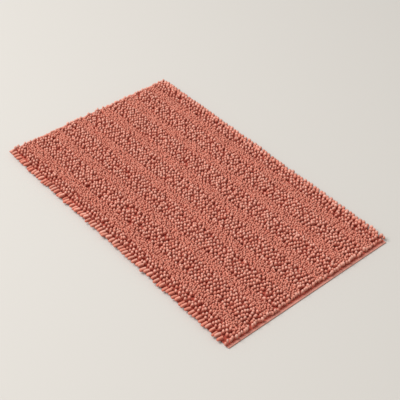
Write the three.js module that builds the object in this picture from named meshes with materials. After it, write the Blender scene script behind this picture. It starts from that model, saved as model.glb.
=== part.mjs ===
// Chenille bath mat, 800 x 500 mm, lying flat on a floor.
//
// Frame: millimetres, +X along the mat's long side, +Y along its short side, +Z up, with the origin on
// the floor under the middle of the mat.
//
// From the floor up: an anti-slip coat, a woven ground cloth whose two short ends are turned under
// and sewn as hems, and a pile of thick chenille yarn. The yarn runs to and fro across the mat. It
// stands up as bobbles in wide bands, lies bound down as fine ribs in narrow bands between them, and
// turns back in a row of loops along each long edge. The outermost run at each short end stands as an
// even row beside the hem.

import * as THREE from 'three';

// ---- driving dimensions, mm ----
const matLength = 800;
const matWidth = 500;
const gap = 0.3;                    // left between two pieces that touch

const coatThickness = 1.2;
const clothThickness = 1.0;
const flapThickness = 1.2;          // the part of the cloth that is turned under
const hemDepth = 14;                // from the fold to the raw edge
const seamInset = 4.4;              // from the fold to the hem's seam
const clothEdgeInset = 8;           // from the loops' noses to the cloth's woven edge

const runPitch = 5.22;              // from one run of chenille to the next
const loopCount = 74;               // two runs to each loop
const loopLength = 18;
const loopTop = 13.5;
const yarnRadius = 4;
const loopDip = 1.6;                // depth of the notch between two loops

const bobbleTop = 15;
const ribTop = 14;
const bandPitch = 77.2;             // from one bobble band to the next
const bobbleBandWidth = 47;
const endRunTop = 13.5;

const threadWidth = 1.0;
const threadHeight = 0.5;
const threadLift = 0.1;             // the lower thread lies this far off the floor

// ---- sizes that follow ----
const halfLength = matLength / 2;
const halfWidth = matWidth / 2;
const clothHalfWidth = halfWidth - clothEdgeInset;
const clothBottom = flapThickness + gap;
const clothTop = clothBottom + clothThickness;
const pileBottom = clothTop + gap;
const loopPitch = 2 * runPitch;
const pileHalfLength = loopCount * loopPitch / 2;
const loopBack = halfWidth - loopLength;
const ribBandWidth = bandPitch - bobbleBandWidth - 2 * gap;
const seamX = halfLength - seamInset;
const coatMargin = 6;               // from the coat's long sides to the cloth's woven edge

// ---- yarns and cloths ----
const chenille = { color: '#c0705e', roughness: 0.95, metalness: 0 };
const flatChenille = { color: '#b56858', roughness: 0.95, metalness: 0 };
const wovenCotton = { color: '#c67a68', roughness: 0.9, metalness: 0 };
const sewingThread = { color: '#bd6f5e', roughness: 0.7, metalness: 0 };
const latex = { color: '#d9cfc0', roughness: 0.8, metalness: 0 };

const mat = new THREE.Group();

function addPiece(name, geometry, look) {
  const piece = new THREE.Mesh(geometry, new THREE.MeshStandardMaterial(look));
  piece.name = name;
  mat.add(piece);
  return piece;
}

// A bar along X: its outline is drawn in Y and Z, and the extrusion runs from -half to +half.
function barAlongX(outline, half) {
  const bar = new THREE.ExtrudeGeometry(new THREE.Shape(outline), {
    depth: 2 * half, bevelEnabled: false,
  });
  bar.translate(0, 0, -half);
  const turn = new THREE.Matrix4().makeBasis(
    new THREE.Vector3(0, 1, 0), new THREE.Vector3(0, 0, 1), new THREE.Vector3(1, 0, 0));
  return bar.applyMatrix4(turn);
}

// A bar along Y: its outline is drawn in X and Z.
function barAlongY(outline, half) {
  const bar = new THREE.ExtrudeGeometry(new THREE.Shape(outline), {
    depth: 2 * half, bevelEnabled: false,
  });
  bar.translate(0, 0, -half);
  const turn = new THREE.Matrix4().makeBasis(
    new THREE.Vector3(1, 0, 0), new THREE.Vector3(0, 0, 1), new THREE.Vector3(0, -1, 0));
  return bar.applyMatrix4(turn);
}

function point(across, up) {
  return new THREE.Vector2(across, up);
}

// Points on an arc round (across, up), from one angle to another in degrees, both ends included.
function arc(across, up, radius, fromAngle, toAngle, steps) {
  const points = [];
  for (let i = 0; i <= steps; i += 1) {
    const angle = THREE.MathUtils.degToRad(fromAngle + (toAngle - fromAngle) * i / steps);
    points.push(point(across + radius * Math.cos(angle), up + radius * Math.sin(angle)));
  }
  return points;
}

function rectangle(left, right, bottom, top) {
  return [point(left, bottom), point(right, bottom), point(right, top), point(left, top)];
}

// ---- anti-slip coat: on the cloth's underside, between the two hems ----
function makeCoat() {
  const coatHalfLength = halfLength - hemDepth - gap;
  const coatHalfWidth = clothHalfWidth - coatMargin;
  const outline = rectangle(-coatHalfWidth, coatHalfWidth, 0, coatThickness);
  addPiece('anti_slip_coat', barAlongX(outline, coatHalfLength), latex);
}

// ---- ground cloth: one length of cloth, its section a flat C at each end ----
// The flap's underside has a shallow groove where the hem's lower thread lies.
function makeGroundCloth() {
  const foldRadius = clothTop / 2;
  const foldX = halfLength - foldRadius;
  const grooveHalf = threadWidth / 2 + gap;
  const grooveDepth = threadLift + threadHeight + gap;
  const rawEdge = halfLength - hemDepth;
  const rightHalf = [
    ...arc(foldX, foldRadius, foldRadius, 90, -90, 6),
    point(seamX + grooveHalf, 0),
    point(seamX + grooveHalf, grooveDepth),
    point(seamX - grooveHalf, grooveDepth),
    point(seamX - grooveHalf, 0),
    point(rawEdge, 0),
    point(rawEdge, flapThickness),
    point(foldX, flapThickness),
    point(foldX, clothBottom),
  ];
  const leftHalf = rightHalf.map((corner) => point(-corner.x, corner.y)).reverse();
  addPiece('ground_cloth', barAlongY([...rightHalf, ...leftHalf], clothHalfWidth), wovenCotton);
}

// ---- hem seams: the upper thread in the groove beside the pile, the lower one under the flap ----
function makeHemThreads() {
  for (const [side, sign] of [['left', -1], ['right', 1]]) {
    const left = sign * seamX - threadWidth / 2;
    const right = sign * seamX + threadWidth / 2;
    const upper = rectangle(left, right, pileBottom, pileBottom + threadHeight);
    const lower = rectangle(left, right, threadLift, threadLift + threadHeight);
    addPiece(`hem_${side}_upper_thread`, barAlongY(upper, clothHalfWidth), sewingThread);
    addPiece(`hem_${side}_lower_thread`, barAlongY(lower, clothHalfWidth), sewingThread);
  }
}

// ---- pile bands: bars with rounded shoulders, from the front edge (-Y) to the back edge (+Y) ----
function bandOutline(front, back, top, shoulder) {
  return [
    point(front, pileBottom),
    point(back, pileBottom),
    ...arc(back - shoulder, top - shoulder, shoulder, 0, 90, 4),
    ...arc(front + shoulder, top - shoulder, shoulder, 90, 180, 4),
  ];
}

function makePileBands() {
  const bobbleHalf = bobbleBandWidth / 2;
  const ribHalf = ribBandWidth / 2;
  const outermost = 3;              // the third band out on each side is cut short by the loops
  const bobbleShoulder = 5;
  const ribShoulder = 2.5;
  for (let band = -outermost; band <= outermost; band += 1) {
    const middle = band * bandPitch;
    const front = Math.max(middle - bobbleHalf, -loopBack + gap);
    const back = Math.min(middle + bobbleHalf, loopBack - gap);
    const outline = bandOutline(front, back, bobbleTop, bobbleShoulder);
    addPiece(`bobble_band_${band + outermost + 1}`, barAlongX(outline, pileHalfLength), chenille);
  }
  for (let band = 0; band < 2 * outermost; band += 1) {
    const middle = (band - outermost + 0.5) * bandPitch;
    const outline = bandOutline(middle - ribHalf, middle + ribHalf, ribTop, ribShoulder);
    addPiece(`rib_band_${band + 1}`, barAlongX(outline, pileHalfLength), flatChenille);
  }
}

// ---- edge loops: a strip with one scallop to each loop, sloping from the pile to the floor ----
// Its section wraps round the cloth's woven edge. dip is how far the outside is drawn in.
function loopSection(dip) {
  const radius = yarnRadius - dip / 2;
  const noseY = halfWidth - yarnRadius - dip / 2;
  const backY = loopBack + yarnRadius;
  const backZ = loopTop - yarnRadius;
  const rise = THREE.MathUtils.radToDeg(Math.atan2(backZ - radius, noseY - backY));
  const slopeNormal = 90 - rise;
  return [
    point(loopBack, pileBottom),
    point(clothHalfWidth + gap, pileBottom),
    point(clothHalfWidth + gap, 0),
    ...arc(noseY, radius, radius, -90, slopeNormal, 3),
    ...arc(backY, backZ, radius, slopeNormal, 90, 1),
    point(loopBack, backZ + radius),
  ];
}

function makeEdgeLoops() {
  const stations = 2 * loopCount + 1;
  const corners = loopSection(0).length;
  const cap = THREE.ShapeUtils.triangulateShape(loopSection(loopDip), []);
  for (const [side, sign] of [['front', -1], ['back', 1]]) {
    const positions = [];
    for (let i = 0; i < stations; i += 1) {
      const x = -pileHalfLength + i * runPitch;
      const dip = i % 2 === 0 ? loopDip : 0;
      for (const corner of loopSection(dip)) {
        positions.push(x, sign * corner.x, corner.y);
      }
    }
    const faces = [];
    for (let i = 0; i + 1 < stations; i += 1) {
      for (let j = 0; j < corners; j += 1) {
        const a = i * corners + j;
        const b = i * corners + (j + 1) % corners;
        faces.push([a, b, b + corners], [a, b + corners, a + corners]);
      }
    }
    const lastStation = (stations - 1) * corners;
    for (const [a, b, c] of cap) {
      faces.push([a, c, b], [a + lastStation, b + lastStation, c + lastStation]);
    }
    const outwards = sign > 0 ? faces : faces.map(([a, b, c]) => [a, c, b]);
    const strip = new THREE.BufferGeometry();
    strip.setAttribute('position', new THREE.Float32BufferAttribute(positions, 3));
    strip.setIndex(outwards.flat());
    addPiece(`edge_loops_${side}`, strip, chenille);
  }
}

// ---- end runs: the last run of chenille at each end, an even row with round ends beside the hem ----
function makeEndRuns() {
  const rounding = 2;
  const radius = yarnRadius - rounding;
  const straightHalf = halfWidth - 2 * yarnRadius;
  const outline = [
    ...arc(0, straightHalf, radius, 0, 180, 6),
    ...arc(0, -straightHalf, radius, 180, 360, 6),
  ];
  for (const [side, sign] of [['left', -1], ['right', 1]]) {
    const run = addPiece(`end_run_${side}`, new THREE.ExtrudeGeometry(new THREE.Shape(outline), {
      depth: endRunTop - pileBottom - 2 * rounding,
      bevelThickness: rounding,
      bevelSize: rounding,
      bevelSegments: 3,
    }), chenille);
    run.position.set(sign * (pileHalfLength + gap + yarnRadius), 0, pileBottom + rounding);
  }
}

makeCoat();
makeGroundCloth();
makeHemThreads();
makePileBands();
makeEdgeLoops();
makeEndRuns();

export default mat;
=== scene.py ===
import math

import bpy
from mathutils import Matrix, Vector


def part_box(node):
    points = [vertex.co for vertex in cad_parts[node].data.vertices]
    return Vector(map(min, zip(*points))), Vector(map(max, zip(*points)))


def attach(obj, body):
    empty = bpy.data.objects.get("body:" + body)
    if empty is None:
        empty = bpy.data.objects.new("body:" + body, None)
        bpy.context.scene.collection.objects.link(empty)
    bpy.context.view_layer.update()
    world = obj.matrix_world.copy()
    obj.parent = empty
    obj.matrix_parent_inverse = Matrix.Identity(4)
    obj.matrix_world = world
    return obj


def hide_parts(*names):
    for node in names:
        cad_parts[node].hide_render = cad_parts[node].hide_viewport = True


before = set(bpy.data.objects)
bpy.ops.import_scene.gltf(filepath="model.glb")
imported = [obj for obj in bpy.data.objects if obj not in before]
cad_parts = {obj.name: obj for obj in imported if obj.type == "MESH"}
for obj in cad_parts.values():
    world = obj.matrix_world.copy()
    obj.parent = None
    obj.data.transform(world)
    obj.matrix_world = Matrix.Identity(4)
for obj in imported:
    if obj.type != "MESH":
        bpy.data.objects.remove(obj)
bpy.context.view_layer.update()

bl_info = {
    "name": "Chenille Bath Mat",
    "version": (1, 0, 0),
    "blender": (4, 5, 0),
    "location": "View3D > Sidebar > Bath Mat",
    "description": "Builds a woven bath mat with a chenille pile of bobble and rib bands",
    "category": "Object",
}

MM = 0.001

# The frame's node names, and the side of the middle that each edge and end lies on.
BOBBLE_BANDS = sorted(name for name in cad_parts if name.startswith("bobble_band_"))
RIB_BANDS = sorted(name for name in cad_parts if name.startswith("rib_band_"))
EDGES = {"front": -1, "back": 1}
ENDS = {"left": -1, "right": 1}

# From the middle of the mat, along X: to the end of the pile and to the end of the cloth.
PILE_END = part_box("end_run_right")[1][0]
MAT_HALF_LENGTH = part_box("ground_cloth")[1][0]

# Each kind of piece draws its random numbers from its own stretch of seeds.
RIB_SEED = 500
EDGE_SEED = 900
END_SEED = 1000
STITCH_SEED = 1300
SEED_STEP = 20


# ---------------------------------------------------------------- what a user may change

class PileSizes(bpy.types.PropertyGroup):
    """Sizes of the chenille pile."""
    run_pitch: bpy.props.FloatProperty(
        name="Run pitch", description="From one run of chenille to the next, along the mat",
        default=5.2 * MM, min=3 * MM, max=9 * MM, unit="LENGTH", precision=4)
    bobble_row: bpy.props.FloatProperty(
        name="Bobble row pitch", description="From one row of bobbles to the next, across the mat",
        default=7.0 * MM, min=5 * MM, max=14 * MM, unit="LENGTH", precision=4)
    rib_row: bpy.props.FloatProperty(
        name="Rib row pitch", description="From one row of bound loops to the next, across the mat",
        default=5.1 * MM, min=4 * MM, max=20 * MM, unit="LENGTH", precision=4)
    yarn_radius: bpy.props.FloatProperty(
        name="Raised yarn radius", description="Radius of the chenille where it stands up",
        default=3.15 * MM, min=2 * MM, max=6 * MM, unit="LENGTH", precision=4)
    bound_radius: bpy.props.FloatProperty(
        name="Bound yarn radius", description="Radius of the chenille where it is bound down",
        default=2.25 * MM, min=1 * MM, max=5 * MM, unit="LENGTH", precision=4)
    unevenness: bpy.props.FloatProperty(
        name="Unevenness", description="How far the tufts stray from even rows",
        default=1.0, min=0.0, max=2.0, subtype="FACTOR")
    seed: bpy.props.IntProperty(
        name="Seed", description="Chooses one random arrangement of the tufts", default=7)


def linear(code):
    """A linear colour with alpha from an sRGB hex code."""
    channels = [int(code[i:i + 2], 16) / 255 for i in (1, 3, 5)]
    return [c / 12.92 if c <= 0.04045 else ((c + 0.055) / 1.055) ** 2.4 for c in channels] + [1.0]


def colour_property(name, description, code):
    return bpy.props.FloatVectorProperty(
        name=name, description=description, subtype="COLOR", size=4, min=0.0, max=1.0,
        default=linear(code))


class MatColours(bpy.types.PropertyGroup):
    """Colours of the yarns, the cloth and the coat."""
    # Painted highlight: a paler colour painted on the crowns of the pile.
    painted_crown_highlight: colour_property("Painted crown highlight", "Colour of the pile yarn at its crown", "#dca190")
    chenille: colour_property("Chenille", "Colour of the pile yarn", "#cc7f6b")
    # Painted shade: a deep red colour painted low in the pile and on the cloth under it.
    painted_deep_shade: colour_property("Painted deep shade", "Colour low in the pile", "#b65140")
    cloth: colour_property("Ground cloth", "Colour of the woven ground", "#cf8b7b")
    thread: colour_property("Sewing thread", "Colour of the hem thread", "#cf8271")
    latex: colour_property("Latex", "Colour of the anti-slip coat", "#d9cfc0")
    floor: colour_property("Floor", "Colour of the plain floor", "#c4c0ba")


# ---------------------------------------------------------------- small tools

def add_node(tree, kind, values=None, **settings):
    """Adds a node. values maps an input's name or number to a socket to link or a plain value."""
    node = tree.nodes.new(kind)
    for name, value in settings.items():
        setattr(node, name, value)
    for key, value in (values or {}).items():
        if isinstance(value, bpy.types.NodeSocket):
            tree.links.new(value, node.inputs[key])
        else:
            node.inputs[key].default_value = value
    return node


def box_mm(node):
    """A CAD node's lowest and highest corners in millimetres."""
    low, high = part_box(node)
    return [c / MM for c in low], [c / MM for c in high]


def finish_piece(piece, nodes):
    """Hangs a finished piece on the mat, in place of the CAD nodes that it stands for."""
    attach(piece, "root")
    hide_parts(*nodes)


def mesh_object(name, vertices, faces, material):
    """A smooth object made of vertices in millimetres."""
    mesh = bpy.data.meshes.new(name)
    mesh.from_pydata([[c * MM for c in vertex] for vertex in vertices], [], faces)
    mesh.materials.append(material)
    mesh.shade_smooth()
    mesh.validate()
    piece = bpy.data.objects.new(name, mesh)
    bpy.context.scene.collection.objects.link(piece)
    return piece


# ---------------------------------------------------------------- materials

def new_material(name):
    """An empty material with its output; returns it with its tree and its shader node."""
    material = bpy.data.materials.new(name)
    material.use_nodes = True
    return material, material.node_tree, material.node_tree.nodes["Principled BSDF"]


def chenille_material(name, colours, low, high):
    """Chenille: short fibres held between two twisted threads, standing out all round the core.

    It has no gloss. The fibre tips catch light at grazing angles, which gives a soft pale rim.
    Low down between the tufts a painted shade makes the yarn deeper and redder: below the height
    low it is deepest, and from the height high up to the crowns a painted highlight makes it paler.
    Each tuft took up the colour a little differently. Its fibres show as clumps about 1 mm across, much
    coarser than single fibres.
    """
    crowns = 14.5 * MM
    clump = 1.1 * MM
    material, tree, shader = new_material(name)
    place = add_node(tree, "ShaderNodeTexCoord").outputs["Object"]
    height = add_node(tree, "ShaderNodeSeparateXYZ", {0: place}).outputs["Z"]
    # Painted shade: below the height low the yarn is painted deep and red, fading out by the height
    # high.
    painted_shade_fade = add_node(tree, "ShaderNodeMapRange", {
        "Value": height, "From Min": low, "From Max": high}).outputs["Result"]
    painted_shade_and_highlight = add_node(tree, "ShaderNodeMix", {
        0: painted_shade_fade, 6: colours.painted_deep_shade, 7: colours.chenille}, data_type="RGBA").outputs[2]
    # Painted highlight: from the height high up to the crowns the yarn is painted paler.
    crown = add_node(tree, "ShaderNodeMapRange", {
        "Value": height, "From Min": high, "From Max": crowns}).outputs["Result"]
    painted_shade_and_highlight = add_node(tree, "ShaderNodeMix", {
        0: crown, 6: painted_shade_and_highlight, 7: colours.painted_crown_highlight}, data_type="RGBA").outputs[2]
    tuft = add_node(tree, "ShaderNodeAttribute", attribute_name="tuft_shade").outputs["Fac"]
    fibres = add_node(tree, "ShaderNodeTexNoise", {
        "Vector": place, "Scale": 1 / clump, "Detail": 3.0, "Roughness": 0.6}).outputs["Fac"]
    fibre_shade = add_node(tree, "ShaderNodeMapRange", {
        "Value": fibres, "From Min": 0.3, "From Max": 0.7, "To Min": 0.86, "To Max": 1.14}
        ).outputs["Result"]
    tuft_shade = add_node(tree, "ShaderNodeMapRange", {
        "Value": tuft, "To Min": 0.92, "To Max": 1.1}).outputs["Result"]
    shade = add_node(tree, "ShaderNodeMath", {0: fibre_shade, 1: tuft_shade},
                     operation="MULTIPLY").outputs[0]
    colour = add_node(tree, "ShaderNodeVectorMath", {0: painted_shade_and_highlight, "Scale": shade},
                      operation="SCALE").outputs[0]
    tree.links.new(colour, shader.inputs["Base Color"])
    bump = add_node(tree, "ShaderNodeBump", {
        "Height": fibres, "Strength": 0.7, "Distance": 0.5 * MM}).outputs["Normal"]
    tree.links.new(bump, shader.inputs["Normal"])
    shader.inputs["Roughness"].default_value = 0.95
    shader.inputs["Specular IOR Level"].default_value = 0.15
    shader.inputs["Sheen Weight"].default_value = 0.35
    shader.inputs["Sheen Roughness"].default_value = 0.5
    shader.inputs["Sheen Tint"].default_value = linear("#ffd9cc")
    return material


def woven_material(colours):
    """Plain-woven cotton: matt, with a fine checked relief of warp and weft, 0.6 mm to a square.

    Under the pile the cloth shows only in the shade between the tufts, so there it carries the same
    painted shade as the foot of the pile. The hems, with no pile on them, keep the paler cloth colour.
    """
    material, tree, shader = new_material("plain-woven cotton")
    two_squares = 1.2 * MM
    place = add_node(tree, "ShaderNodeTexCoord").outputs["Object"]
    parts = add_node(tree, "ShaderNodeSeparateXYZ", {0: place}).outputs
    waves = []
    for axis in ("X", "Y"):
        turns = add_node(tree, "ShaderNodeMath", {0: parts[axis], 1: math.tau / two_squares},
                         operation="MULTIPLY").outputs[0]
        waves.append(add_node(tree, "ShaderNodeMath", {0: turns}, operation="SINE").outputs[0])
    weave = add_node(tree, "ShaderNodeMath", {0: waves[0], 1: waves[1]},
                     operation="MULTIPLY").outputs[0]
    fleck = add_node(tree, "ShaderNodeTexNoise", {
        "Vector": place, "Scale": 1 / (2.5 * MM), "Detail": 4.0}).outputs["Fac"]
    height = add_node(tree, "ShaderNodeMath", {0: weave, 1: 0.6, 2: fleck},
                      operation="MULTIPLY_ADD").outputs[0]
    shade = add_node(tree, "ShaderNodeMapRange", {
        "Value": height, "From Min": -0.3, "From Max": 1.3, "To Min": 0.82, "To Max": 1.12}
        ).outputs["Result"]
    # Painted shade: under the pile the cloth is painted with the deep shade colour of the pile's foot;
    # past the pile's end the hems keep the cloth colour.
    from_middle = add_node(tree, "ShaderNodeMath", {0: parts["X"]}, operation="ABSOLUTE").outputs[0]
    outside_painted_shade = add_node(tree, "ShaderNodeMapRange", {
        "Value": from_middle, "From Min": PILE_END - 1 * MM, "From Max": PILE_END + 1 * MM}
        ).outputs["Result"]
    cloth_colour_and_painted_shade = add_node(tree, "ShaderNodeMix", {
        0: outside_painted_shade, 6: colours.painted_deep_shade, 7: colours.cloth}, data_type="RGBA").outputs[2]
    colour = add_node(tree, "ShaderNodeVectorMath", {0: cloth_colour_and_painted_shade, "Scale": shade},
                      operation="SCALE").outputs[0]
    tree.links.new(colour, shader.inputs["Base Color"])
    bump = add_node(tree, "ShaderNodeBump", {
        "Height": height, "Strength": 0.6, "Distance": 0.2 * MM}).outputs["Normal"]
    tree.links.new(bump, shader.inputs["Normal"])
    shader.inputs["Roughness"].default_value = 0.9
    shader.inputs["Specular IOR Level"].default_value = 0.2
    shader.inputs["Sheen Weight"].default_value = 0.2
    return material


def thread_material(colours):
    """Spun sewing thread: two plies twisted together, with a slight lustre along the twist."""
    material, tree, shader = new_material("spun sewing thread")
    place = add_node(tree, "ShaderNodeTexCoord").outputs["Object"]
    twist = add_node(tree, "ShaderNodeTexWave", {
        "Vector": place, "Scale": 1 / (2.2 * MM), "Distortion": 0.6, "Detail": 1.0},
        bands_direction="DIAGONAL").outputs["Fac"]
    shade = add_node(tree, "ShaderNodeMapRange", {
        "Value": twist, "To Min": 0.85, "To Max": 1.08}).outputs["Result"]
    colour = add_node(tree, "ShaderNodeVectorMath", {0: colours.thread[:3], "Scale": shade},
                      operation="SCALE").outputs[0]
    tree.links.new(colour, shader.inputs["Base Color"])
    bump = add_node(tree, "ShaderNodeBump", {
        "Height": twist, "Strength": 0.5, "Distance": 0.1 * MM}).outputs["Normal"]
    tree.links.new(bump, shader.inputs["Normal"])
    shader.inputs["Roughness"].default_value = 0.6
    return material


def latex_material(colours):
    """Latex coat, brushed on wet: rubbery, slightly cloudy, with small pits where it foamed."""
    material, tree, shader = new_material("brushed latex coat")
    place = add_node(tree, "ShaderNodeTexCoord").outputs["Object"]
    cloud = add_node(tree, "ShaderNodeTexNoise", {
        "Vector": place, "Scale": 1 / (25 * MM), "Detail": 3.0}).outputs["Fac"]
    pits = add_node(tree, "ShaderNodeTexNoise", {
        "Vector": place, "Scale": 1 / (1.5 * MM), "Detail": 2.0}).outputs["Fac"]
    shade = add_node(tree, "ShaderNodeMapRange", {
        "Value": cloud, "From Min": 0.3, "From Max": 0.7, "To Min": 0.93, "To Max": 1.04}
        ).outputs["Result"]
    colour = add_node(tree, "ShaderNodeVectorMath", {0: colours.latex[:3], "Scale": shade},
                      operation="SCALE").outputs[0]
    tree.links.new(colour, shader.inputs["Base Color"])
    bump = add_node(tree, "ShaderNodeBump", {
        "Height": pits, "Strength": 0.5, "Distance": 0.2 * MM}).outputs["Normal"]
    tree.links.new(bump, shader.inputs["Normal"])
    shader.inputs["Roughness"].default_value = 0.55
    shader.inputs["IOR"].default_value = 1.52
    return material


def floor_material(colours):
    """A plain painted floor, matt."""
    material, tree, shader = new_material("plain matt floor")
    shader.inputs["Base Color"].default_value = colours.floor
    shader.inputs["Roughness"].default_value = 0.85
    return material


# ---------------------------------------------------------------- rows of tufts

# Rounding a tuft makes it thinner, so its yarn starts this many times as thick.
ROUNDING_SHRINKS = 1.16

TUFT_INPUTS = [
    ("Centre", "Vector"), ("Length", "Float"), ("Width", "Float"), ("Half Length", "Float"),
    ("Columns", "Int"), ("Rows", "Int"), ("Row Shift", "Float"),
    ("Start", "Vector"), ("Crown", "Vector"), ("End", "Vector"),
    ("Yarn Radius", "Float"), ("Foot", "Float"), ("Steps", "Int"), ("Sides", "Int"),
    ("Turn", "Float"), ("Place Jitter", "Vector"), ("Lean Jitter", "Vector"),
    ("Size Jitter", "Float"), ("Wander", "Float"), ("Wander Size", "Float"),
    ("Turn Wander", "Float"), ("Missing", "Float"), ("Fuzz", "Float"), ("Seed", "Int"),
    ("Yarn", "Material"),
]


def random_vector(tree, low, high, seed):
    """A different random vector for each point, between two limits."""
    return add_node(tree, "FunctionNodeRandomValue", {0: low, 1: high, "Seed": seed},
                    data_type="FLOAT_VECTOR").outputs[0]


def random_number(tree, low, high, seed):
    """A different random number for each point, between two limits."""
    return add_node(tree, "FunctionNodeRandomValue", {2: low, 3: high, "Seed": seed},
                    data_type="FLOAT").outputs[1]


def build_tuft_tree():
    """A tree that sets out short bent lengths of yarn in staggered, slightly uneven rows.

    Its random numbers come from Seed. Lean Jitter, Place Jitter and Size Jitter are the most that a
    tuft strays by; Wander and Turn Wander are slow drifts that neighbours share.
    """
    tree = bpy.data.node_groups.new("rows of tufts", "GeometryNodeTree")
    for name, kind in TUFT_INPUTS:
        tree.interface.new_socket(name=name, in_out="INPUT", socket_type=f"NodeSocket{kind}")
    tree.interface.new_socket(name="Tufts", in_out="OUTPUT", socket_type="NodeSocketGeometry")
    given = add_node(tree, "NodeGroupInput").outputs

    def number(operation, *values):
        return add_node(tree, "ShaderNodeMath", dict(enumerate(values)),
                        operation=operation).outputs[0]

    def vector(operation, *values):
        return add_node(tree, "ShaderNodeVectorMath", dict(enumerate(values)),
                        operation=operation).outputs[0]

    def seed(step):
        return number("ADD", given["Seed"], float(step))

    # Even rows and columns, each row set a step further along than the last and brought back when
    # it is half a pitch out; then a slow wander and a small jitter.
    grid = add_node(tree, "GeometryNodeMeshGrid", {
        "Size X": given["Length"], "Size Y": given["Width"],
        "Vertices X": given["Columns"], "Vertices Y": given["Rows"]}).outputs["Mesh"]
    index = add_node(tree, "GeometryNodeInputIndex").outputs[0]
    row = number("FLOORED_MODULO", index, given["Rows"])
    half_gaps = number("SUBTRACT", number("MULTIPLY", given["Columns"], 2.0), 2.0)
    half_pitch = number("DIVIDE", given["Length"], number("MAXIMUM", half_gaps, 1.0))
    shift = add_node(tree, "ShaderNodeCombineXYZ", {
        "X": number("WRAP", number("MULTIPLY", row, given["Row Shift"]), half_pitch,
                    number("MULTIPLY", half_pitch, -1.0))}).outputs[0]
    centred = add_node(tree, "GeometryNodeSetPosition", {
        "Geometry": grid, "Offset": vector("ADD", shift, given["Centre"])}).outputs[0]
    position = add_node(tree, "GeometryNodeInputPosition").outputs[0]
    slow = add_node(tree, "ShaderNodeTexNoise", {
        "Vector": position, "W": given["Seed"], "Detail": 1.0,
        "Scale": number("DIVIDE", 1.0, given["Wander Size"])},
        noise_dimensions="4D").outputs["Color"]
    slow = vector("SUBTRACT", slow, (0.5, 0.5, 0.5))
    swirl = add_node(tree, "ShaderNodeSeparateXYZ", {0: slow}).outputs["Z"]
    drift = add_node(tree, "ShaderNodeVectorMath", {
        0: vector("MULTIPLY", slow, (2.0, 2.0, 0.0)), "Scale": given["Wander"]},
        operation="SCALE").outputs[0]
    back = vector("MULTIPLY", given["Place Jitter"], (-1.0, -1.0, -1.0))
    quick = random_vector(tree, back, given["Place Jitter"], seed(1))
    points = add_node(tree, "GeometryNodeSetPosition", {
        "Geometry": centred, "Offset": vector("ADD", drift, quick)}).outputs[0]

    # Some tufts are lost, and those beyond Half Length from the middle of the mat are left out.
    lost = add_node(tree, "FunctionNodeRandomValue", {
        "Probability": given["Missing"], "Seed": seed(2)}, data_type="BOOLEAN").outputs[3]
    along_mat = add_node(tree, "ShaderNodeSeparateXYZ", {0: position}).outputs["X"]
    from_middle = number("ABSOLUTE", along_mat)
    outside = number("GREATER_THAN", from_middle, given["Half Length"])
    points = add_node(tree, "GeometryNodeDeleteGeometry", {
        "Geometry": points, "Selection": number("MAXIMUM", lost, outside)}, domain="POINT").outputs[0]

    # One tuft: a round yarn along a bent line, thinner at its feet, with its corners softened a little.
    line = add_node(tree, "GeometryNodeCurveQuadraticBezier", {
        "Resolution": given["Steps"], "Start": given["Start"], "Middle": given["Crown"],
        "End": given["End"]}).outputs[0]
    along = add_node(tree, "GeometryNodeSplineParameter").outputs["Factor"]
    plump = number("SQRT", number("SINE", number("MULTIPLY", along, math.pi)))
    scale = add_node(tree, "ShaderNodeMapRange", {
        "Value": plump, "To Min": given["Foot"], "To Max": 1.0}).outputs["Result"]
    section = add_node(tree, "GeometryNodeCurvePrimitiveCircle", {
        "Resolution": given["Sides"],
        "Radius": number("MULTIPLY", given["Yarn Radius"], ROUNDING_SHRINKS)}).outputs["Curve"]
    tuft = add_node(tree, "GeometryNodeCurveToMesh", {
        "Curve": line, "Profile Curve": section, "Scale": scale, "Fill Caps": True}).outputs[0]
    rounded = add_node(tree, "GeometryNodeBlurAttribute", {
        "Value": position, "Iterations": 2, "Weight": 0.3}, data_type="FLOAT_VECTOR").outputs[0]
    tuft = add_node(tree, "GeometryNodeSetPosition", {
        "Geometry": tuft, "Position": rounded}).outputs[0]

    # Each tuft is turned, leant and sized a little differently.
    swirl = number("MULTIPLY", number("MULTIPLY", swirl, 2.0), given["Turn Wander"])
    turn = add_node(tree, "ShaderNodeCombineXYZ", {
        "Z": number("ADD", given["Turn"], swirl)}).outputs[0]
    lean_back = vector("MULTIPLY", given["Lean Jitter"], (-1.0, -1.0, -1.0))
    lean = vector("ADD", turn, random_vector(tree, lean_back, given["Lean Jitter"], seed(3)))
    smallest = number("SUBTRACT", 1.0, given["Size Jitter"])
    largest = number("ADD", 1.0, given["Size Jitter"])
    size = random_vector(tree, smallest, largest, seed(4))
    tufts = add_node(tree, "GeometryNodeInstanceOnPoints", {
        "Points": points, "Instance": tuft, "Rotation": lean, "Scale": size}).outputs[0]
    tufts = add_node(tree, "GeometryNodeStoreNamedAttribute", {
        "Geometry": tufts, "Name": "tuft_shade",
        "Value": random_number(tree, 0.0, 1.0, seed(5))},
        data_type="FLOAT", domain="INSTANCE").outputs[0]
    made = add_node(tree, "GeometryNodeRealizeInstances", {"Geometry": tufts}).outputs[0]

    # The fibres stand out unevenly, in clumps of about 3 mm.
    fine = add_node(tree, "ShaderNodeTexNoise", {
        "Vector": position, "Scale": 1 / (3 * MM), "Detail": 1.0}).outputs["Color"]
    fine = vector("SUBTRACT", fine, (0.5, 0.5, 0.5))
    fine = add_node(tree, "ShaderNodeVectorMath", {
        0: fine, "Scale": given["Fuzz"]}, operation="SCALE").outputs[0]
    made = add_node(tree, "GeometryNodeSetPosition", {"Geometry": made, "Offset": fine}).outputs[0]
    made = add_node(tree, "GeometryNodeSetShadeSmooth", {"Geometry": made}).outputs[0]
    made = add_node(tree, "GeometryNodeSetMaterial", {
        "Geometry": made, "Material": given["Yarn"]}).outputs[0]
    add_node(tree, "NodeGroupOutput", {0: made})
    return tree


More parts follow.
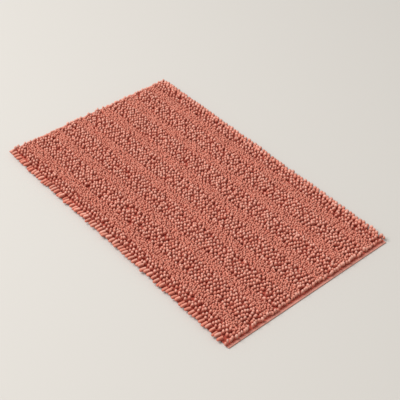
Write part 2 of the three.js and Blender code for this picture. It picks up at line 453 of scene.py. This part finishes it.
def grow(name, settings, lengths_mm):
    """Makes a plain mesh object from the tuft tree. lengths_mm holds its inputs in millimetres."""
    tree = bpy.data.node_groups["rows of tufts"]
    host = bpy.data.objects.new(f"{name}_host", bpy.data.meshes.new(f"{name}_host"))
    bpy.context.scene.collection.objects.link(host)
    modifier = host.modifiers.new("tufts", "NODES")
    modifier.node_group = tree
    values = {"Half Length": MAT_HALF_LENGTH, **settings}
    for key, value in lengths_mm.items():
        values[key] = [c * MM for c in value] if isinstance(value, (list, tuple)) else value * MM
    sockets = {item.name: item.identifier for item in tree.interface.items_tree}
    for key, value in values.items():
        modifier[sockets[key]] = value
    evaluated = host.evaluated_get(bpy.context.evaluated_depsgraph_get())
    mesh = bpy.data.meshes.new_from_object(evaluated)
    mesh.name = name
    bpy.data.objects.remove(host)
    piece = bpy.data.objects.new(name, mesh)
    bpy.context.scene.collection.objects.link(piece)
    return piece


def fitted(span, pitch):
    """How many tufts fit in a span, and the span from the first one's middle to the last one's."""
    count = max(1, round(span / pitch))
    return count, span * (count - 1) / count


def hairpin(crest, foot, spread):
    """The bent line of a tuft that stands up, with a foot to each side across the mat.

    Its top is at crest: from the feet up, a line bent by one point goes half as high as the point.
    """
    return {"Start": (0, -spread, foot), "Crown": (0, 0, 2 * crest - foot), "End": (0, spread, foot)}


# ---------------------------------------------------------------- operators

class MAT_OT_materials(bpy.types.Operator):
    """Make the yarn, cloth, thread, latex and floor materials, and the tree that grows tufts"""
    bl_idname = "bath_mat.materials"
    bl_label = "Yarns and Cloths"

    def execute(self, context):
        colours = context.scene.bath_mat_colours
        # The painted shade is deepest below 6 mm up and gone by 12 mm; above that the painted highlight
        # begins.
        chenille_material("cotton chenille yarn", colours, 6 * MM, 12 * MM)
        # The painted shade on the yarn of the end runs stays lighter low down: its deepest painted
        # shade lies below the floor.
        chenille_material("outer chenille yarn", colours, -8 * MM, 9 * MM)
        woven_material(colours)
        thread_material(colours)
        latex_material(colours)
        floor_material(colours)
        build_tuft_tree()
        return {"FINISHED"}


class MAT_OT_bobbles(bpy.types.Operator):
    """Grow the bands of raised bobbles"""
    bl_idname = "bath_mat.bobbles"
    bl_label = "Bobble Bands"

    def execute(self, context):
        sizes = context.scene.bath_mat_pile
        pitch = 2 * sizes.run_pitch / MM
        radius = sizes.yarn_radius / MM
        uneven = sizes.unevenness
        crest_lift = 1.3                  # rounding lowers the crests, so they start this much higher
        end_margin = 0.8                  # no bobble stands nearer to the end of its band
        for order, node in enumerate(BOBBLE_BANDS):
            low, high = box_mm(node)
            columns, length = fitted(high[0] - low[0], pitch)
            rows, width = fitted(high[1] - low[1], sizes.bobble_row / MM)
            crest = high[2] - low[2] - radius + crest_lift
            piece = grow(f"bobbles_{order + 1}", {
                "Columns": columns + 1, "Rows": rows, "Foot": 0.8, "Steps": 6, "Sides": 8,
                "Turn": -math.radians(22), "Turn Wander": 0.6 * uneven,
                "Lean Jitter": (0.2 * uneven, 0.25 * uneven, 0.5 * uneven),
                "Size Jitter": 0.12 * uneven, "Missing": 0.01 * uneven,
                "Seed": sizes.seed + SEED_STEP * order,
                "Yarn": bpy.data.materials["cotton chenille yarn"],
            }, {
                "Centre": (0, (low[1] + high[1]) / 2, low[2]),
                "Length": length + pitch, "Width": width, "Half Length": high[0] - end_margin,
                "Row Shift": pitch / 4, **hairpin(crest, foot=0.3, spread=1.3),
                "Yarn Radius": radius, "Place Jitter": (1.5 * uneven, 1.3 * uneven, 0.6 * uneven),
                "Wander": 2.6 * uneven, "Wander Size": 35, "Fuzz": 0.9,
            })
            finish_piece(piece, [node])
        return {"FINISHED"}


class MAT_OT_ribs(bpy.types.Operator):
    """Grow the narrow bands of fine bound ribs"""
    bl_idname = "bath_mat.ribs"
    bl_label = "Rib Bands"

    def execute(self, context):
        sizes = context.scene.bath_mat_pile
        pitch = sizes.run_pitch / MM
        radius = sizes.bound_radius / MM
        uneven = sizes.unevenness
        crest_lift = 0.6                  # rounding lowers the crests, so they start this much higher
        for order, node in enumerate(RIB_BANDS):
            low, high = box_mm(node)
            columns, length = fitted(high[0] - low[0], pitch)
            rows, width = fitted(high[1] - low[1], sizes.rib_row / MM)
            crest = high[2] - low[2] - radius + crest_lift
            piece = grow(f"ribs_{order + 1}", {
                "Columns": columns, "Rows": rows, "Foot": 0.7, "Steps": 6, "Sides": 8,
                "Lean Jitter": (0.25 * uneven, 0.25 * uneven, 1.0 * uneven),
                "Size Jitter": 0.08 * uneven,
                "Seed": sizes.seed + RIB_SEED + SEED_STEP * order,
                "Yarn": bpy.data.materials["cotton chenille yarn"],
            }, {
                "Centre": (0, (low[1] + high[1]) / 2, low[2]),
                "Length": length, "Width": width, **hairpin(crest, foot=0.3, spread=1.2),
                "Yarn Radius": radius, "Place Jitter": (0.45 * uneven, 0.5 * uneven, 0.3 * uneven),
                "Wander": 2.0 * uneven, "Wander Size": 35, "Fuzz": 0.7,
            })
            finish_piece(piece, [node])
        return {"FINISHED"}


class MAT_OT_edges(bpy.types.Operator):
    """Grow the turning loops along each long edge"""
    bl_idname = "bath_mat.edges"
    bl_label = "Edge Loops"

    def execute(self, context):
        sizes = context.scene.bath_mat_pile
        pitch = 2 * sizes.run_pitch / MM
        uneven = sizes.unevenness
        thicker = 0.3                     # than the yarn of the bobbles
        end_margin = 2.5                  # no loop stands nearer to the end of its edge
        for side, sign in EDGES.items():
            node = f"edge_loops_{side}"
            low, high = box_mm(node)
            columns, length = fitted(high[0] - low[0], pitch)
            outer = max(abs(low[1]), abs(high[1]))
            inner = min(abs(low[1]), abs(high[1]))
            radius = sizes.yarn_radius / MM + thicker
            crest = high[2] - radius
            reach = outer - inner - radius
            if side == "front":
                # Long loops that lean along the mat, go out to its edge and come back lower down.
                rows = 1
                middle = inner
                slant = 4.0
                root = sign * 1.5
                start = (slant / 2, root, crest + 0.6)
                crown = (-slant, sign * (2 * reach - 1), crest - 1.6)
                end = (slant / 2, root, 6.6)
            else:
                # Short, still thicker loops in two rows, standing up like the bobbles beside them.
                rows = 2
                middle = (inner + outer) / 2 - 1.8
                foot = 3.6
                radius += 0.6
                start = (0, sign * -0.5, foot)
                crown = (0, sign * 1.0, 2 * crest - 1)
                end = (0, sign * 3.2, foot)
            piece = grow(node + "_yarn", {
                "Columns": columns + 1, "Rows": rows, "Foot": 0.85, "Steps": 10, "Sides": 8,
                "Turn Wander": 0.5 * uneven,
                "Lean Jitter": (0.08 * uneven, 0.12 * uneven, 0.16 * uneven),
                "Size Jitter": 0.12 * uneven, "Seed": sizes.seed + EDGE_SEED + SEED_STEP * sign,
                "Yarn": bpy.data.materials["cotton chenille yarn"],
            }, {
                "Centre": (0, sign * middle, 0),
                "Start": start, "Crown": crown, "End": end,
                "Length": length + pitch, "Half Length": high[0] - end_margin,
                "Width": sizes.bobble_row / MM * (rows - 1), "Row Shift": pitch / 2,
                "Yarn Radius": radius, "Place Jitter": (1.5 * uneven, 1.5 * uneven, 0.5),
                "Wander": 1.5 * uneven, "Wander Size": 40, "Fuzz": 0.8,
            })
            finish_piece(piece, [node])
        return {"FINISHED"}


class MAT_OT_end_runs(bpy.types.Operator):
    """Grow the last run of chenille at each end, a single row of tufts beside the hem"""
    bl_idname = "bath_mat.end_runs"
    bl_label = "End Runs"

    def execute(self, context):
        sizes = context.scene.bath_mat_pile
        uneven = sizes.unevenness
        pitch = 7.4
        radius = 3.0
        crest_lift = 1.6                  # rounding lowers the crests, so they start this much higher
        inset = 1.1                       # narrows the gap to the pile and keeps off the seam
        for side, sign in ENDS.items():
            node = f"end_run_{side}"
            low, high = box_mm(node)
            rows, width = fitted(high[1] - low[1], pitch)
            crest = high[2] - low[2] - radius + crest_lift
            piece = grow(node + "_yarn", {
                "Columns": 1, "Rows": rows, "Foot": 0.8, "Steps": 7, "Sides": 8,
                "Lean Jitter": (0.14 * uneven, 0.1 * uneven, 1.0 * uneven),
                "Size Jitter": 0.26 * uneven, "Missing": 0.02 * uneven,
                "Seed": sizes.seed + END_SEED + SEED_STEP * sign,
                "Yarn": bpy.data.materials["outer chenille yarn"],
            }, {
                "Centre": ((low[0] + high[0]) / 2 - inset * sign, 0, low[2]),
                "Length": 0, "Width": width, **hairpin(crest, foot=1.1, spread=0.9),
                "Yarn Radius": radius, "Place Jitter": (2.0 * uneven, 2.0 * uneven, 1.7 * uneven),
                "Wander": 1.2 * uneven, "Wander Size": 40, "Fuzz": 0.8,
            })
            finish_piece(piece, [node])
        return {"FINISHED"}


class MAT_OT_ground(bpy.types.Operator):
    """Weave the ground cloth with both short ends turned under"""
    bl_idname = "bath_mat.ground"
    bl_label = "Ground Cloth"

    def execute(self, context):
        low, high = box_mm("ground_cloth")
        coat_high = box_mm("anti_slip_coat")[1]
        end, half_width, top = high[0], high[1], high[2]
        thickness = 1.0                   # of the cloth's upper layer
        flap = coat_high[2]               # the turned-under layer is as thick as the coat
        fold_radius = top / 2
        raw_edge = coat_high[0] + 0.3     # the flap stops just short of the coat
        inner_corner = raw_edge - 6       # the top is flat from the middle to here
        seam = box_mm("hem_right_upper_thread")
        seam_x = (seam[0][0] + seam[1][0]) / 2
        dent_depth = 0.3
        dent_width = 1.2
        deeper_below = 2.2                # the thread pulls the underside in this many times as deep

        def dent(x):
            """How far the seam pulls the upper surface in at x."""
            return dent_depth * math.exp(-((x - seam_x) / dent_width) ** 2)

        # Half of the section, from the middle of the top, round the fold, to the middle below.
        steps = 12
        fold_x = end - fold_radius
        hem = fold_x - raw_edge
        half = [(x, top - dent(x)) for x in (0.0, inner_corner)]
        half += [(x, top - dent(x)) for x in (raw_edge + hem * i / steps for i in range(steps))]
        half += [(fold_x + fold_radius * math.sin(a), fold_radius + fold_radius * math.cos(a))
                 for a in (math.pi * i / steps for i in range(steps + 1))]
        half += [(x, deeper_below * dent(x))
                 for x in (fold_x - hem * i / steps for i in range(1, steps + 1))]
        half += [(raw_edge, flap), (fold_x - 1, flap),
                 (fold_x - 1, top - thickness), (raw_edge, top - thickness)]
        section = half + [(-x, z) for x, z in reversed(half) if x > 0]

        # The warp shows as ridges along the mat, on top and out at the folds, where every other line
        # of corners stands up. At 1.6 mm apart the ridges may be coarser than the real threads.
        line_pitch = 0.8
        relief = 0.06
        skin = 0.6                        # how far below the top the ridges reach
        columns = round(2 * half_width / line_pitch)
        vertices = []
        for column in range(columns + 1):
            y = -half_width + 2 * half_width * column / columns
            swell = relief * (1 if column % 2 else -1)
            for x, z in section:
                outward = math.copysign(1, x) if abs(x) > fold_x else 0
                up = 0 if outward or z < flap else (swell if z > top - skin else 0)
                vertices.append((x + outward * swell, y, z + up))
        count = len(section)
        faces = []
        for column in range(columns):
            for i in range(count):
                a, b = column * count + i, column * count + (i + 1) % count
                faces.append((a, b, b + count, a + count))
        faces.append(list(reversed(range(count))))
        last = columns * count
        faces.append([last + i for i in range(count)])
        piece = mesh_object("ground_weave", vertices, faces, bpy.data.materials["plain-woven cotton"])
        finish_piece(piece, ["ground_cloth"])
        return {"FINISHED"}


class MAT_OT_stitches(bpy.types.Operator):
    """Sew both hems with a row of lock stitches, above and below"""
    bl_idname = "bath_mat.stitches"
    bl_label = "Hem Stitches"

    def execute(self, context):
        seed = context.scene.bath_mat_pile.seed + STITCH_SEED
        stitch_pitch = 3.2
        half_stitch = 1.4
        for side in ENDS:
            for level, bow in (("upper", 1), ("lower", -1)):
                node = f"hem_{side}_{level}_thread"
                low, high = box_mm(node)
                rows, width = fitted(high[1] - low[1], stitch_pitch)
                middle = (low[2] + high[2]) / 2
                dip, crown = -0.15 * bow, 0.2 * bow
                piece = grow(f"hem_{side}_{level}_stitches", {
                    "Columns": 1, "Rows": rows, "Foot": 0.7, "Steps": 5, "Sides": 6,
                    "Lean Jitter": (0.0, 0.0, 0.05), "Size Jitter": 0.03,
                    "Seed": seed, "Yarn": bpy.data.materials["spun sewing thread"],
                }, {
                    "Centre": ((low[0] + high[0]) / 2, 0, middle),
                    "Length": 0, "Width": width,
                    "Start": (0, -half_stitch, dip), "Crown": (0, 0, crown),
                    "End": (0, half_stitch, dip),
                    "Yarn Radius": 0.33, "Place Jitter": (0.05, 0.05, 0),
                    "Wander": 0.1, "Wander Size": 60, "Fuzz": 0.0,
                })
                finish_piece(piece, [node])
        return {"FINISHED"}


class MAT_OT_coat(bpy.types.Operator):
    """Spread the anti-slip coat over the underside, between the hems"""
    bl_idname = "bath_mat.coat"
    bl_label = "Anti-slip Coat"

    def execute(self, context):
        low, high = box_mm("anti_slip_coat")
        run = context.scene.bath_mat_pile.run_pitch / MM
        steps = round((high[0] - low[0]) / (run / 4))
        ripple_height = 0.1
        rim = 0.4                         # width and height of the bevel along each long edge
        ys = [low[1], low[1] + rim, high[1] - rim, high[1]]
        vertices = []
        for i in range(steps + 1):
            x = low[0] + (high[0] - low[0]) * i / steps
            ripple = ripple_height * (1 + math.cos(math.tau * x / run))
            below = [rim, low[2] + ripple, low[2] + ripple, rim]
            vertices += [(x, y, z) for y, z in zip(ys, below)]
            vertices += [(x, y, high[2]) for y in reversed(ys)]
        count = 2 * len(ys)
        faces = []
        for i in range(steps):
            for j in range(count):
                a, b = i * count + j, i * count + (j + 1) % count
                faces.append((a, b, b + count, a + count))
        faces.append(list(reversed(range(count))))
        last = steps * count
        faces.append([last + j for j in range(count)])
        piece = mesh_object("latex_coat", vertices, faces, bpy.data.materials["brushed latex coat"])
        finish_piece(piece, ["anti_slip_coat"])
        return {"FINISHED"}


class MAT_OT_stage(bpy.types.Operator):
    """Set the floor, the lights and the camera"""
    bl_idname = "bath_mat.stage"
    bl_label = "Floor, Light and Camera"

    def execute(self, context):
        scene = context.scene
        floor_half = 4000
        floor_level = -0.2
        corners = [(x * floor_half, y * floor_half, floor_level)
                   for x, y in ((-1, -1), (1, -1), (1, 1), (-1, 1))]
        floor = mesh_object("floor", corners, [(0, 1, 2, 3)], bpy.data.materials["plain matt floor"])

        world = bpy.data.worlds.new("soft room light")
        world.use_nodes = True
        background = world.node_tree.nodes["Background"]
        background.inputs["Color"].default_value = linear("#f4f3f1")
        background.inputs["Strength"].default_value = 0.58
        scene.world = world

        window = bpy.data.lights.new("window", "AREA")
        window.shape = "RECTANGLE"
        window.size = 3.6
        window.size_y = 3.6
        window.energy = 397
        window_object = bpy.data.objects.new("window", window)
        window_object.location = (-2.4, -2.55, 4.75)
        aim = Vector((0, 0, 0)) - window_object.location
        window_object.rotation_euler = aim.to_track_quat("-Z", "Y").to_euler()
        scene.collection.objects.link(window_object)

        camera = bpy.data.cameras.new("camera")
        camera.sensor_width = 36
        camera.lens = 87.43
        turn, tilt, roll = (math.radians(a) for a in (46.62, 41.96, 3.17))
        distance = 2.296
        aim_at = Vector((0.021, 0.0135, -0.0071))
        back = Vector((math.sin(turn) * math.cos(tilt), -math.cos(turn) * math.cos(tilt),
                       math.sin(tilt)))
        camera_object = bpy.data.objects.new("camera", camera)
        camera_object.rotation_mode = "QUATERNION"
        camera_object.rotation_quaternion = ((-back).to_track_quat("-Z", "Y")
                                             @ Matrix.Rotation(roll, 3, "Z").to_quaternion())
        camera_object.location = aim_at + back * distance
        scene.collection.objects.link(camera_object)
        scene.camera = camera_object
        scene.view_settings.view_transform = "Standard"
        return {"FINISHED"}


class MAT_PT_panel(bpy.types.Panel):
    """Lists the sizes, the colours and the steps"""
    bl_idname = "MAT_PT_panel"
    bl_label = "Bath Mat"
    bl_space_type = "VIEW_3D"
    bl_region_type = "UI"
    bl_category = "Bath Mat"

    def draw(self, context):
        column = self.layout.column()
        for group in (context.scene.bath_mat_pile, context.scene.bath_mat_colours):
            for name in group.__annotations__:
                column.prop(group, name)
        for step in STEPS:
            column.operator(step.bl_idname)


STEPS = (MAT_OT_materials, MAT_OT_stage, MAT_OT_ground, MAT_OT_coat, MAT_OT_stitches,
         MAT_OT_bobbles, MAT_OT_ribs, MAT_OT_edges, MAT_OT_end_runs)
CLASSES = (PileSizes, MatColours, *STEPS, MAT_PT_panel)


def register():
    for cls in CLASSES:
        bpy.utils.register_class(cls)
    bpy.types.Scene.bath_mat_pile = bpy.props.PointerProperty(type=PileSizes)
    bpy.types.Scene.bath_mat_colours = bpy.props.PointerProperty(type=MatColours)


def unregister():
    del bpy.types.Scene.bath_mat_colours
    del bpy.types.Scene.bath_mat_pile
    for cls in reversed(CLASSES):
        bpy.utils.unregister_class(cls)


def main():
    register()
    for step in STEPS:
        group, name = step.bl_idname.split(".")
        getattr(getattr(bpy.ops, group), name)()


if __name__ == "__main__":
    main()
